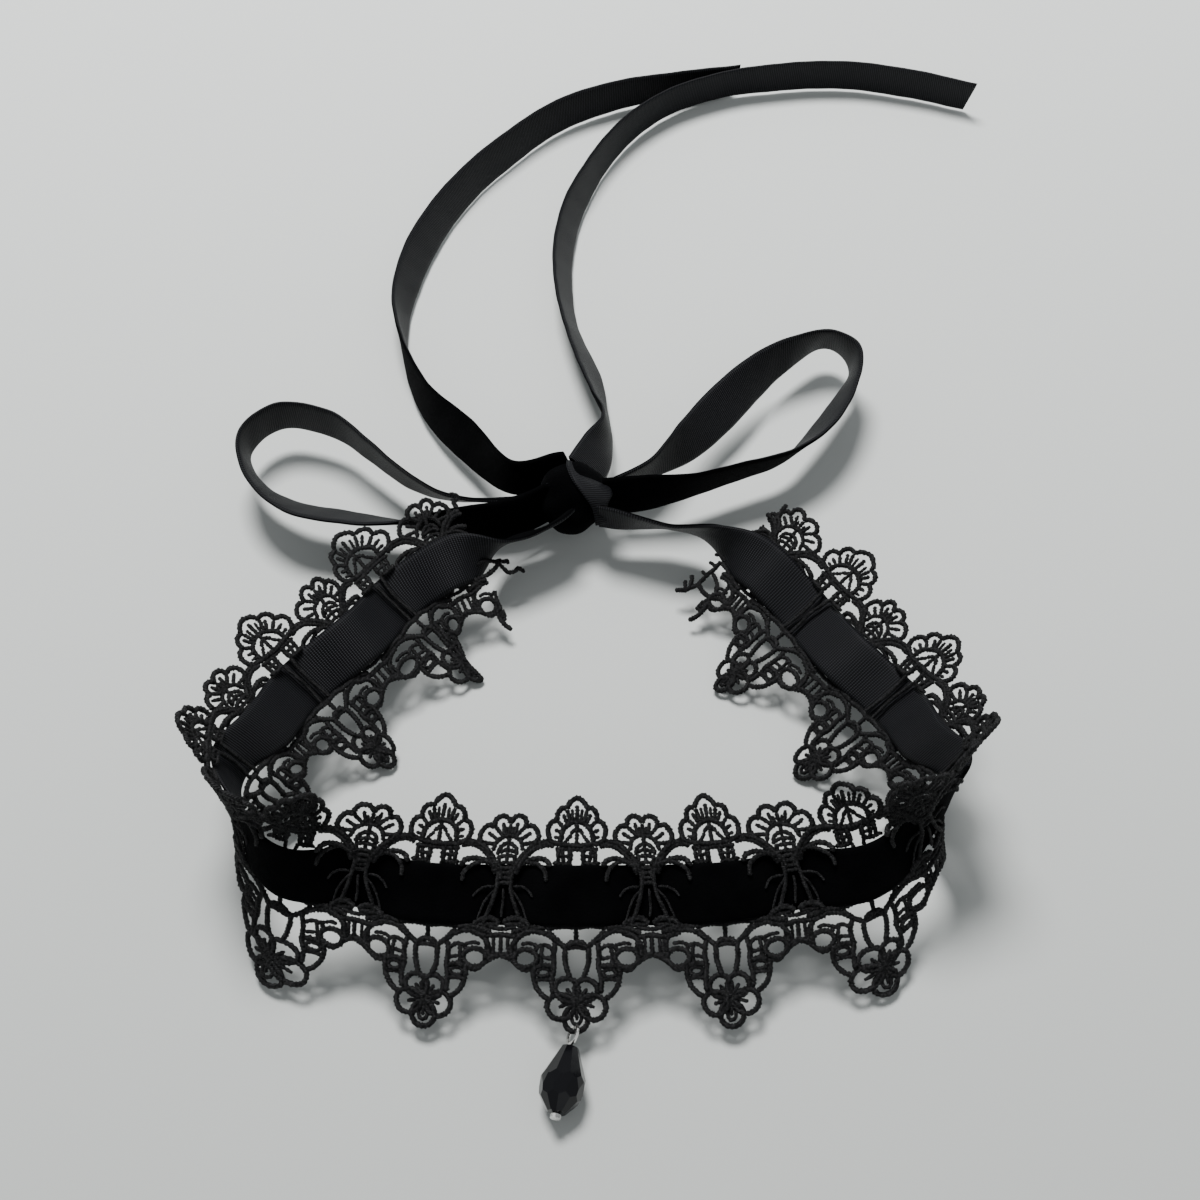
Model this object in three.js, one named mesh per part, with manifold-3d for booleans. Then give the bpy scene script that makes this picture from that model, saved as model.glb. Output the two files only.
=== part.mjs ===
// A lace choker lying on a flat surface, tied at the back of the neck in a ribbon bow.
// Millimetres, +Z up, front of the neck towards -Y. The origin is at the middle of the underside.

import * as THREE from 'three';
import { mergeGeometries, mergeVertices } from 'three/addons/utils/BufferGeometryUtils.js';
import Module from 'manifold-3d';

const wasm = await Module();
wasm.setup();

// Driving dimensions of the lace band
const REPEATS = 11;               // pointed motifs along the band
const PITCH = 26.5;               // one repeat of the motif, along the ribbon line
const END_ALLOWANCE = 7.5;        // lace past the last rounded scallop, at each cut end
const CUT_FROM = 2;               // the last scallop's middle to where the cut end draws in
const LACE_THICKNESS = 1.1;
const LACE_RISE = 16.9;           // ribbon line to the highest point of a motif
const LACE_DROP = 25;             // ribbon line to the lowest point of a motif
const BAR_WIDTH = 1.4;            // narrow bar behind the ribbon, at the middle of a motif
const COLUMN_WIDTH = 3.6;         // wide bar over the ribbon, between two motifs

// Driving dimensions of the ribbon
const RIBBON_WIDTH = 10.5;
const RIBBON_THICKNESS = 1;
const LEFT_TIE = 22;              // free ribbon between the lace and the knot
const RIGHT_TIE = 31.6;
const LEFT_LOOP_LENGTH = 160;     // ribbon in each loop of the bow, knot to knot
const RIGHT_LOOP_LENGTH = 153;
const LEFT_TAIL_LENGTH = 206;
const RIGHT_TAIL_LENGTH = 225;
const TAIL_CUT = 0.25;            // slant of a tail's cut end, length for each width

// Driving dimensions of the knot, the bead and its pin
const KNOT_SIZE = new THREE.Vector3(17, 16.5, 13.5);
const WRAP_WIDTH = 8.5;
const WRAP_STAND = 0.8;           // how far the wrapping turn stands out from the knot
const WRAP_SLANT = 18;            // turn's slant across the knot, degrees
const WRAP_ASIDE = 0.8;           // how far right of the knot's middle the turn lies
const BEAD_LENGTH = 12;
const BEAD_WIDTH = 8.3;
const BEAD_BORE = 1.5;
const BEAD_FACETS = 10;
const BEAD_SWING = -11;           // drop's direction, degrees from straight ahead
const PIN_WIRE = 0.7;
const PIN_HEAD_WIDTH = 1.9;
const PIN_HEAD_THICKNESS = 0.7;
const PIN_RING = 3.5;             // middle line of the pin's ring
const RING_TURN = 28;             // ring's turn on the pin from edge-on, degrees
const RING_ASIDE = -0.6;          // from the lace's front tip along the band to the ring
const RING_SEAT = 1.7;            // from the lace's front tip up to the ring's wire
const RING_SLACK = 0.1;           // from the ring's wire up to the middle of the tip's hole
const TIP_HOLE = 1.2;             // half width of the hole
const BEND_STEP = 3;              // longest straight stretch along a slot in the lace
const CLEARANCE = 0.35;
const REST_GAP = 0.05;            // between the bead's side and the surface

const MERGE = 1e-4;               // points nearer than this are one

const HALF_LACE = REPEATS * PITCH / 2 + END_ALLOWANCE;
const TURNED = Math.PI / 180;

// The neck loop from the knot round the left side, the front and the right side, back to the knot.
// x, y: plan, as shares of the neck loop's own length. height: ribbon line above the surface, as a
// share of the lace's drop. lean: the lace's top edge outwards, degrees. twist: what the ribbon leans
// more than the lace. curl: how much more the lace leans at one drop's height up, degrees. draw: how
// far the upper edge shifts along the band, for each mm upwards.
const NECK = [
  { x: -0.0205, y: 0.0392, height: 0.44, lean: 57, twist: -91, curl: 0, draw: 0 },
  { x: -0.0273, y: 0.0322, height: 0.44, lean: 57, twist: -91, curl: 0, draw: 0 },
  { x: -0.0556, y: 0.0176, height: 0.46, lean: 57, twist: -92, curl: 0, draw: 0 },
  { x: -0.0839, y: 0.0010, height: 0.54, lean: 57, twist: -6, curl: 0, draw: -0.05 },
  { x: -0.1103, y: -0.0176, height: 0.51, lean: 59, twist: 0, curl: 0, draw: -0.1 },
  { x: -0.1308, y: -0.0478, height: 0.57, lean: 57, twist: 0, curl: 0, draw: -0.05 },
  { x: -0.1572, y: -0.0791, height: 0.59, lean: 55, twist: 0, curl: 0, draw: 0 },
  { x: -0.1777, y: -0.1152, height: 0.72, lean: 46, twist: 0, curl: 0, draw: 0.05 },
  { x: -0.1884, y: -0.1533, height: 0.95, lean: 24, twist: 0, curl: 2.5, draw: 0.1 },
  { x: -0.1835, y: -0.1884, height: 0.97, lean: -4, twist: 0, curl: 12.5, draw: 0.15 },
  { x: -0.1572, y: -0.2060, height: 0.83, lean: -30, twist: 0, curl: 17.5, draw: 0.2 },
  { x: -0.1220, y: -0.2099, height: 0.73, lean: -46, twist: 0, curl: 7.5, draw: 0.2 },
  { x: -0.0849, y: -0.2128, height: 0.63, lean: -58, twist: 0, curl: 0, draw: 0.12 },
  { x: -0.0127, y: -0.2157, height: 0.66, lean: -61, twist: 0, curl: 0, draw: 0.02 },
  { x: 0.0605, y: -0.2118, height: 0.60, lean: -61, twist: 0, curl: 0, draw: -0.12 },
  { x: 0.0966, y: -0.2079, height: 0.65, lean: -54, twist: 0, curl: 5, draw: -0.18 },
  { x: 0.1337, y: -0.2030, height: 0.71, lean: -43, twist: 0, curl: 10, draw: -0.16 },
  { x: 0.1669, y: -0.1874, height: 0.93, lean: -18, twist: 0, curl: 10, draw: -0.1 },
  { x: 0.1796, y: -0.1572, height: 0.99, lean: 17, twist: 0, curl: 2.5, draw: 0 },
  { x: 0.1728, y: -0.1240, height: 0.72, lean: 43, twist: 0, curl: 0, draw: -0.05 },
  { x: 0.1552, y: -0.0888, height: 0.55, lean: 58, twist: 0, curl: 0, draw: 0 },
  { x: 0.1328, y: -0.0566, height: 0.49, lean: 62, twist: 0, curl: 0, draw: 0 },
  { x: 0.1142, y: -0.0264, height: 0.46, lean: 64, twist: 0, curl: 0, draw: 0.05 },
  { x: 0.0918, y: 0.0010, height: 0.50, lean: 58, twist: -3, curl: 0, draw: 0 },
  { x: 0.0644, y: 0.0234, height: 0.48, lean: 57, twist: -70, curl: 0, draw: -0.3 },
  { x: 0.0400, y: 0.0293, height: 0.46, lean: 57, twist: -92, curl: 0, draw: -0.3 },
  { x: 0.0127, y: 0.0342, height: 0.46, lean: 57, twist: -75, curl: 0, draw: 0 },
  { x: -0.0010, y: 0.0372, height: 0.46, lean: 57, twist: -71, curl: 0, draw: 0 },
];
const KNOT_PLACE = { x: -0.0137, y: 0.0552, height: 0.44 };   // as the neck loop's rows

// Each loop and tail starts at the knot. x, y: from the knot, as shares of its own ribbon's length.
// height: middle of the ribbon above the surface, as a share of the ribbon's width. lean: top edge to
// the right of the way it runs, degrees.
const LEFT_LOOP = [
  { x: -0.034, y: 0.012, height: 1.00, lean: -18 },
  { x: -0.095, y: -0.004, height: 0.96, lean: -40 },
  { x: -0.170, y: -0.004, height: 0.99, lean: -34 },
  { x: -0.238, y: 0.030, height: 0.98, lean: -16 },
  { x: -0.296, y: 0.084, height: 0.99, lean: -8 },
  { x: -0.355, y: 0.133, height: 1.00, lean: -4 },
  { x: -0.430, y: 0.146, height: 1.02, lean: -7 },
  { x: -0.473, y: 0.096, height: 1.03, lean: 3 },
  { x: -0.450, y: 0.026, height: 0.99, lean: 27 },
  { x: -0.393, y: -0.021, height: 1.00, lean: 48 },
  { x: -0.318, y: -0.040, height: 1.01, lean: 51 },
  { x: -0.245, y: -0.049, height: 1.01, lean: 38 },
  { x: -0.170, y: -0.053, height: 1.02, lean: -4 },
  { x: -0.098, y: -0.045, height: 1.03, lean: -16 },
  { x: -0.036, y: -0.012, height: 1.03, lean: -10 },
];
const RIGHT_LOOP = [
  { x: 0.036, y: -0.002, height: 1.00, lean: -10 },
  { x: 0.095, y: 0.004, height: 1.00, lean: -8 },
  { x: 0.168, y: 0.020, height: 1.00, lean: 11 },
  { x: 0.238, y: 0.046, height: 1.00, lean: 19 },
  { x: 0.308, y: 0.076, height: 0.99, lean: 27 },
  { x: 0.358, y: 0.130, height: 1.00, lean: 39 },
  { x: 0.395, y: 0.194, height: 1.02, lean: 31 },
  { x: 0.416, y: 0.264, height: 1.04, lean: 5 },
  { x: 0.380, y: 0.306, height: 1.01, lean: -20 },
  { x: 0.313, y: 0.274, height: 0.98, lean: 6 },
  { x: 0.257, y: 0.222, height: 0.99, lean: 29 },
  { x: 0.208, y: 0.162, height: 0.99, lean: 40 },
  { x: 0.159, y: 0.103, height: 0.99, lean: 24 },
  { x: 0.103, y: 0.052, height: 0.97, lean: -14 },
  { x: 0.046, y: 0.022, height: 0.92, lean: -24 },
];
const LEFT_TAIL = [
  { x: -0.020, y: 0.033, height: 1.05, lean: 8 },
  { x: -0.068, y: 0.026, height: 0.97, lean: 6 },
  { x: -0.124, y: 0.091, height: 0.76, lean: 26 },
  { x: -0.170, y: 0.154, height: 0.57, lean: 13 },
  { x: -0.199, y: 0.227, height: 0.50, lean: 0 },
  { x: -0.210, y: 0.306, height: 0.48, lean: -18 },
  { x: -0.199, y: 0.385, height: 0.48, lean: -25 },
  { x: -0.173, y: 0.461, height: 0.48, lean: -20 },
  { x: -0.135, y: 0.531, height: 0.49, lean: -13 },
  { x: -0.086, y: 0.594, height: 0.50, lean: -9 },
  { x: -0.030, y: 0.651, height: 0.51, lean: -3 },
  { x: 0.040, y: 0.690, height: 0.51, lean: 4 },
  { x: 0.117, y: 0.713, height: 0.50, lean: 11 },
  { x: 0.200, y: 0.729, height: 0.50, lean: 14 },
];
const RIGHT_TAIL = [
  { x: 0.007, y: 0.024, height: 1.12, lean: -45 },
  { x: 0.019, y: 0.056, height: 0.97, lean: -38 },
  { x: 0.029, y: 0.094, height: 0.80, lean: -11 },
  { x: 0.021, y: 0.140, height: 0.64, lean: -22 },
  { x: 0.010, y: 0.190, height: 0.54, lean: -34 },
  { x: -0.011, y: 0.263, height: 0.48, lean: -25 },
  { x: -0.019, y: 0.339, height: 0.48, lean: -25 },
  { x: -0.012, y: 0.415, height: 0.49, lean: -20 },
  { x: 0.011, y: 0.487, height: 0.50, lean: -10 },
  { x: 0.046, y: 0.555, height: 0.51, lean: -2 },
  { x: 0.096, y: 0.611, height: 0.51, lean: 7 },
  { x: 0.162, y: 0.647, height: 0.50, lean: 11 },
  { x: 0.236, y: 0.663, height: 0.50, lean: 9 },
  { x: 0.312, y: 0.667, height: 0.50, lean: 9 },
  { x: 0.387, y: 0.652, height: 0.50, lean: 8 },
  { x: 0.459, y: 0.627, height: 0.50, lean: 9 },
];

// Half of one repeat of the lace's outline, from the middle of a pointed motif (0) to the middle of
// the rounded scallop beside it (1). top and bottom: shares of the lace's rise and drop.
const OUTLINE = [
  { across: 0, top: 1, bottom: 1 },
  { across: 0.13, top: 0.94, bottom: 0.97 },
  { across: 0.24, top: 0.90, bottom: 0.91 },
  { across: 0.31, top: 0.81, bottom: 0.88 },
  { across: 0.37, top: 0.76, bottom: 0.81 },
  { across: 0.43, top: 0.62, bottom: 0.72 },
  { across: 0.51, top: 0.55, bottom: 0.58 },
  { across: 0.58, top: 0.57, bottom: 0.555 },
  { across: 0.64, top: 0.66, bottom: 0.565 },
  { across: 0.72, top: 0.71, bottom: 0.55 },
  { across: 0.80, top: 0.78, bottom: 0.51 },
  { across: 0.90, top: 0.79, bottom: 0.495 },
  { across: 1, top: 0.82, bottom: 0.49 },
];
const CUT_END = { top: 0.54, bottom: 0.41 };   // the lace's cut ends, as the rows above

// Gaps pierced in the lace, each an ellipse. across: share of half a repeat from the middle of a
// pointed motif. up: share of the lace's rise, or of its drop when negative. wide: half width, share
// of half a repeat. tall: half height, share of the rise. Those off the middle are on both sides.
const GAPS = [
  { across: 0.46, up: 0.455, wide: 0.21, tall: 0.052 },
  { across: 0, up: 0.70, wide: 0.17, tall: 0.12 },
  { across: 0, up: -0.50, wide: 0.10, tall: 0.12 },
  { across: 0.29, up: -0.42, wide: 0.11, tall: 0.085 },
  { across: 0.66, up: -0.44, wide: 0.11, tall: 0.075 },
];
const SCALLOP_GAP = { across: 0, up: 0.62, wide: 0.15, tall: 0.08 };   // in each rounded scallop
const GAP_SIDES = 8;
const JOIN = 0.8;                 // where a motif meets the scallop beside it, share of half a repeat

// The bead is what two faceted drops have in common, one turned half a facet. along: share of its
// length, from its narrow end. round: share of its half width.
const BELLY_FACETS = [
  { along: 0, round: 0.42 },
  { along: 0.40, round: 1 },
  { along: 0.74, round: 1 },
  { along: 1, round: 0.40 },
];
const LONG_FACETS = [
  { along: 0, round: 0.38 },
  { along: 0.52, round: 1.03 },
  { along: 0.84, round: 0.86 },
  { along: 1, round: 0.46 },
];

const velvet = new THREE.MeshStandardMaterial({ color: 0x08080a, roughness: 0.95, metalness: 0 });
const thread = new THREE.MeshStandardMaterial({ color: 0x0b0b0d, roughness: 0.75, metalness: 0 });
const jet = new THREE.MeshStandardMaterial({ color: 0x050506, roughness: 0.08, metalness: 0 });
const silver = new THREE.MeshStandardMaterial({ color: 0xc9c9c6, roughness: 0.22, metalness: 1 });

// A ribbon's route: a smooth line of a given length through a table's rows, with a leaning section.
class Route {
  constructor(rows, size, length, origin = new THREE.Vector3()) {
    this.rows = rows;
    this.length = length;
    const raw = this.curveThrough(size, origin);
    const fit = size.plan * length / raw.getLength();
    this.curve = this.curveThrough({ plan: fit, height: size.height }, origin);
    this.plan = fit;
    this.scale = length / this.curve.getLength();
  }

  curveThrough({ plan, height }, origin) {
    const points = this.rows.map((row) =>
      new THREE.Vector3(row.x * plan, row.y * plan, row.height * height).add(origin));
    const curve = new THREE.CatmullRomCurve3(points);
    curve.arcLengthDivisions = 40 * points.length;
    return curve;
  }

  // Value of a table's column at a place along the curve, eased between the rows
  column(name, u) {
    const place = u * (this.rows.length - 1);
    const row = Math.min(Math.floor(place), this.rows.length - 2);
    const [a, b] = [this.rows[row][name] ?? 0, this.rows[row + 1][name] ?? 0];
    return THREE.MathUtils.lerp(a, b, THREE.MathUtils.smoothstep(place - row, 0, 1));
  }

  // Point at s mm along the route, h mm up its section and n mm out from the right-hand face
  point(s, h, n) {
    const share = s / this.length;
    const u = this.curve.getUtoTmapping(THREE.MathUtils.clamp(share, 0, 1));
    const place = this.curve.getPoint(u);
    const tangent = this.curve.getTangent(u);
    const level = new THREE.Vector3(tangent.x, tangent.y, 0).normalize();
    const outward = new THREE.Vector3(level.y, -level.x, 0);
    const up = new THREE.Vector3(0, 0, 1);
    const curl = this.column('curl', u) * TURNED / LACE_DROP;
    const lean = this.column('lean', u) * TURNED;
    const half = curl * h / 2;
    const chord = Math.abs(half) < 1e-6 ? h : h * Math.sin(half) / half;
    place.addScaledVector(outward, chord * Math.sin(lean + half));
    place.addScaledVector(up, chord * Math.cos(lean + half));
    place.addScaledVector(outward, n * Math.cos(lean + curl * h));
    place.addScaledVector(up, -n * Math.sin(lean + curl * h));
    place.addScaledVector(level, this.column('draw', u) * Math.max(h, 0));
    const past = s - THREE.MathUtils.clamp(s, 0, this.length);
    return place.addScaledVector(level, past);
  }
}

// Moves each point of a geometry to where a function puts it
function reshape(geometry, move) {
  const places = geometry.attributes.position;
  const point = new THREE.Vector3();
  for (let i = 0; i < places.count; i += 1) {
    const moved = move(point.fromBufferAttribute(places, i).clone());
    places.setXYZ(i, moved.x, moved.y, moved.z);
  }
  return geometry;
}

function bare(geometry) {
  geometry.deleteAttribute('normal');
  geometry.deleteAttribute('uv');
  return mergeVertices(geometry, MERGE);
}

// Flat sheets joined into one where their edges meet
function joinEdges(sheets) {
  return bare(mergeGeometries(sheets));
}

function toSolid(geometry) {
  const merged = bare(geometry);
  const vertProperties = new Float32Array(merged.attributes.position.array);
  const triVerts = new Uint32Array(merged.index.array);
  return new wasm.Manifold(new wasm.Mesh({ numProp: 3, vertProperties, triVerts }));
}

function toGeometry(solid) {
  const mesh = solid.getMesh();
  const geometry = new THREE.BufferGeometry();
  geometry.setAttribute('position', new THREE.BufferAttribute(new Float32Array(mesh.vertProperties), 3));
  geometry.setIndex(new THREE.BufferAttribute(new Uint32Array(mesh.triVerts), 1));
  return geometry;
}

// The ribbon bent along a route. stations: places along it. offset(s): its middle's distance from the
// route's face. cut: slant of its far end. grow: how much larger it is on every side.
function ribbonStrip(route, { stations, offset = () => 0, cut = 0, grow = 0 }) {
  const columns = stations.length - 1;
  const flat = new THREE.BoxGeometry(1, RIBBON_WIDTH + 2 * grow, RIBBON_THICKNESS + 2 * grow, columns);
  return reshape(flat, (p) => {
    const column = Math.round((p.x + 0.5) * columns);
    const edge = (column === 0 ? -grow : 0) + (column === columns ? grow + cut * p.y : 0);
    return route.point(stations[column] + edge, p.y, offset(stations[column]) + p.z);
  });
}

function evenly(from, to, count) {
  return Array.from({ length: count + 1 }, (_, i) => from + (to - from) * i / count);
}

const neckLength = LEFT_TIE + 2 * HALF_LACE + RIGHT_TIE;
const neckSize = { plan: neckLength, height: LACE_DROP };
const neckRoute = new Route(NECK, neckSize, neckLength);
const twistedRows = NECK.map((row) => ({ ...row, lean: row.lean + row.twist }));
const twistedRoute = new Route(twistedRows, neckSize, neckLength);
const frontMiddle = LEFT_TIE + HALF_LACE;

const HALF_REPEAT = PITCH / 2;
const WINDOW = RIBBON_WIDTH / 2 + CLEARANCE;   // half height of the slots that the ribbon runs through

// Flat place of a row of the outline, on its upper or lower edge
const topOf = (row, x) => new THREE.Vector2(x, row.top * LACE_RISE);
const bottomOf = (row, x) => new THREE.Vector2(x, -row.bottom * LACE_DROP);

// The edge of a slot from x = a to x = b, at height h, in short steps so that it can bend
const slotEdge = (a, b, h) =>
  evenly(a, b, Math.ceil(Math.abs(b - a) / BEND_STEP)).map((x) => new THREE.Vector2(x, h));

// Pierces a shape with one row of GAPS, on both sides of the middle where it is off it
function pierce(shape, { across, up, wide, tall }, sides = across === 0 ? [1] : [-1, 1]) {
  const height = up * (up > 0 ? LACE_RISE : LACE_DROP);
  const turns = evenly(0, 2 * Math.PI, GAP_SIDES).slice(0, -1);
  for (const side of sides) {
    const rim = turns.map((turn) => new THREE.Vector2(
      (side * across + wide * Math.cos(turn)) * HALF_REPEAT,
      height + tall * LACE_RISE * Math.sin(turn),
    ));
    shape.holes.push(new THREE.Path(rim));
  }
}

// A piece of the flat lace: a lower and an upper part joined by one upright bar between two slots.
// right: its right half's lower and upper edge, outwards from the middle. left: the same, mirrored.
function barredShape(right, left, barWidth) {
  const end = (side) => side.lower[side.lower.length - 1].x;
  const mirror = (p) => new THREE.Vector2(-p.x, p.y);
  const slot = (reach) => [
    ...slotEdge(reach, barWidth / 2, -WINDOW),
    ...slotEdge(barWidth / 2, reach, WINDOW),
  ];
  const half = ({ lower, upper }, reach) => [...lower, ...slot(reach), ...[...upper].reverse()];
  const points = [
    ...half(right, end(right)),
    ...half(left, end(left)).reverse().map(mirror),
  ];
  return new THREE.Shape(points.filter((p, i) => p.distanceTo(points.at(i - 1)) > 1e-6));
}

// One pointed motif. isFront: with the hole for the pin's ring in the front one
function motifShape(isFront) {
  const rows = OUTLINE.filter(({ across }) => across <= JOIN);
  const side = {
    lower: rows.map((row) => bottomOf(row, row.across * HALF_REPEAT)),
    upper: rows.map((row) => topOf(row, row.across * HALF_REPEAT)),
  };
  const shape = barredShape(side, side, BAR_WIDTH);
  GAPS.forEach((gap) => pierce(shape, gap));
  if (isFront) {
    const across = RING_ASIDE / HALF_REPEAT;
    const up = (RING_SEAT + RING_SLACK) / LACE_DROP - 1;
    pierce(shape, { across, up, wide: TIP_HOLE / HALF_REPEAT, tall: TIP_HOLE / LACE_RISE }, [1]);
  }
  return shape;
}

// One rounded scallop with the wide column under it. atEnd: -1 or 1 where the lace is cut beside it.
function scallopShape(atEnd) {
  const rows = OUTLINE.filter(({ across }) => across >= JOIN).reverse();
  const joined = {
    lower: rows.map((row) => bottomOf(row, (1 - row.across) * HALF_REPEAT)),
    upper: rows.map((row) => topOf(row, (1 - row.across) * HALF_REPEAT)),
  };
  const cut = {
    lower: [bottomOf(rows[0], 0), bottomOf(rows[1], CUT_FROM), bottomOf(CUT_END, END_ALLOWANCE)],
    upper: [topOf(rows[0], 0), topOf(rows[1], CUT_FROM), topOf(CUT_END, END_ALLOWANCE)],
  };
  const shape = barredShape(atEnd > 0 ? cut : joined, atEnd < 0 ? cut : joined, COLUMN_WIDTH);
  if (atEnd === 0) pierce(shape, SCALLOP_GAP);
  return shape;
}

// A flat sheet of triangles made a closed solid: both faces, and a wall along each open edge
function thicken(flat, place) {
  const { array } = flat.index;
  const flatPlaces = flat.attributes.position;
  const count = flatPlaces.count;
  const places = [];
  for (const side of [0.5, -0.5]) {
    for (let i = 0; i < count; i += 1) places.push(place(flatPlaces.getX(i), flatPlaces.getY(i), side));
  }
  const faces = [];
  const edges = new Set();
  for (let i = 0; i < array.length; i += 3) {
    const [a, b, c] = array.slice(i, i + 3);
    faces.push(a, b, c, a + count, c + count, b + count);
    for (const [from, to] of [[a, b], [b, c], [c, a]]) edges.add(`${from} ${to}`);
  }
  for (const edge of edges) {
    const [from, to] = edge.split(' ').map(Number);
    if (!edges.has(`${to} ${from}`)) faces.push(to, from, from + count, to, from + count, to + count);
  }
  const solid = new THREE.BufferGeometry().setFromPoints(places);
  solid.setIndex(faces);
  return solid;
}

// The whole lace: its pieces drawn flat side by side, joined, bent along the neck loop and thickened
function laceBand() {
  const last = (REPEATS - 1) / 2;
  const pieces = evenly(-last, last, REPEATS - 1).map((at) => ({ at, shape: motifShape(at === 0) }));
  for (const at of evenly(-REPEATS / 2, REPEATS / 2, REPEATS)) {
    const atEnd = Math.abs(at) > last ? Math.sign(at) : 0;
    pieces.push({ at, shape: scallopShape(atEnd) });
  }
  const flat = pieces.map(({ at, shape }) => {
    const sheet = new THREE.ShapeGeometry(shape, 1);
    return sheet.translate(at * PITCH, 0, 0);
  });
  const bend = (x, y, side) => neckRoute.point(frontMiddle + x, y, side * LACE_THICKNESS);
  return thicken(joinEdges(flat), bend);
}

// The ribbon lies outside the lace's narrow bars and inside its wide columns
function weave(s) {
  const reach = (LACE_THICKNESS + RIBBON_THICKNESS) / 2 + CLEARANCE;
  const repeats = (s - frontMiddle) / PITCH;
  const past = Math.abs(repeats) - REPEATS / 2 - COLUMN_WIDTH / 2 / PITCH;
  const swing = 1.2 * reach * Math.cos(2 * Math.PI * repeats);
  return past > 0 ? -1.2 * reach * (1 - THREE.MathUtils.smoothstep(past, 0, 0.6)) : swing;
}

function neckRibbon(grow = 0) {
  const stations = [
    ...evenly(0, LEFT_TIE, 6).slice(0, -1),
    ...evenly(LEFT_TIE, LEFT_TIE + 2 * HALF_LACE, 11 * REPEATS).slice(0, -1),
    ...evenly(LEFT_TIE + 2 * HALF_LACE, neckLength, 8),
  ];
  return ribbonStrip(twistedRoute, { stations, offset: weave, grow });
}

const knotPlace = new THREE.Vector3(
  KNOT_PLACE.x * neckRoute.plan, KNOT_PLACE.y * neckRoute.plan, KNOT_PLACE.height * LACE_DROP);
const knotFoot = new THREE.Vector3(knotPlace.x, knotPlace.y, 0);

function freeStrip(rows, length, { steps, cut = 0, grow = 0 }) {
  const route = new Route(rows, { plan: length, height: RIBBON_WIDTH }, length, knotFoot);
  return ribbonStrip(route, { stations: evenly(0, length, steps), cut, grow });
}

const leftLoop = (grow) => freeStrip(LEFT_LOOP, LEFT_LOOP_LENGTH, { steps: 40, grow });
const rightLoop = (grow) => freeStrip(RIGHT_LOOP, RIGHT_LOOP_LENGTH, { steps: 40, grow });
const leftTail = (grow) => freeStrip(LEFT_TAIL, LEFT_TAIL_LENGTH, { steps: 36, cut: TAIL_CUT, grow });
const rightTail = (grow) => freeStrip(RIGHT_TAIL, RIGHT_TAIL_LENGTH, { steps: 40, cut: TAIL_CUT, grow });

// The knot: a rounded lump with the ribbon's last turn wrapped round it, and pockets for the strands
function bowKnot() {
  const lump = new THREE.SphereGeometry(0.5, 20, 12);
  lump.scale(KNOT_SIZE.x, KNOT_SIZE.y, KNOT_SIZE.z);
  const turn = new THREE.CylinderGeometry(0.5, 0.5, WRAP_WIDTH, 20);
  turn.rotateZ(Math.PI / 2);
  turn.scale(1, KNOT_SIZE.y * 0.88 + 2 * WRAP_STAND, KNOT_SIZE.z * 0.88 + 2 * WRAP_STAND);
  turn.rotateZ(-WRAP_SLANT * TURNED);
  turn.translate(WRAP_ASIDE, 0, 0);
  let knot = toSolid(lump).add(toSolid(turn)).translate([knotPlace.x, knotPlace.y, knotPlace.z]);
  for (const strand of [neckRibbon, leftLoop, rightLoop, leftTail, rightTail]) {
    knot = knot.subtract(toSolid(strand(CLEARANCE)));
  }
  return knot;
}

// One faceted drop along +Y, its narrow end up, round a drilled hole
function facetedDrop(rings, turn) {
  const outer = rings.map(({ along, round }) =>
    new THREE.Vector2(round * BEAD_WIDTH / 2, (0.5 - along) * BEAD_LENGTH));
  const bore = [
    new THREE.Vector2(BEAD_BORE / 2, -BEAD_LENGTH / 2),
    new THREE.Vector2(BEAD_BORE / 2, BEAD_LENGTH / 2),
  ];
  const profile = [...outer, ...bore, outer[0].clone()].reverse();
  return toSolid(new THREE.LatheGeometry(profile, BEAD_FACETS).rotateY(turn));
}

function dropBead() {
  return facetedDrop(BELLY_FACETS, 0).intersect(facetedDrop(LONG_FACETS, Math.PI / BEAD_FACETS));
}

// The bead's pin along +Y: a flat head under the bead, the wire through it and a ring at the top
function headPin() {
  const wireLength = BEAD_LENGTH + 2 * CLEARANCE + PIN_WIRE;
  const head = new THREE.CylinderGeometry(PIN_HEAD_WIDTH / 2, PIN_HEAD_WIDTH / 2, PIN_HEAD_THICKNESS, 12);
  head.translate(0, -BEAD_LENGTH / 2 - CLEARANCE - PIN_HEAD_THICKNESS / 2, 0);
  const wire = new THREE.CylinderGeometry(PIN_WIRE / 2, PIN_WIRE / 2, wireLength + 0.2, 8);
  wire.translate(0, PIN_WIRE / 2 - 0.1, 0);
  const ring = new THREE.TorusGeometry(PIN_RING / 2, PIN_WIRE / 2, 8, 18);
  ring.rotateY(Math.PI / 2 + RING_TURN * TURNED);
  ring.translate(0, BEAD_LENGTH / 2 + CLEARANCE + PIN_WIRE / 2 + PIN_RING / 2, 0);
  return toSolid(head).add(toSolid(wire)).add(toSolid(ring));
}

function named(name, geometry, material) {
  const mesh = new THREE.Mesh(geometry, material);
  mesh.name = name;
  return mesh;
}

const choker = new THREE.Group();
choker.add(named('lace_band', laceBand(), thread));
choker.add(named('neck_ribbon', bare(neckRibbon()), velvet));
choker.add(named('bow_knot', toGeometry(bowKnot()), velvet));
choker.add(named('bow_loop_left', bare(leftLoop()), velvet));
choker.add(named('bow_loop_right', bare(rightLoop()), velvet));
choker.add(named('tail_left', bare(leftTail()), velvet));
choker.add(named('tail_right', bare(rightTail()), velvet));

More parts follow.
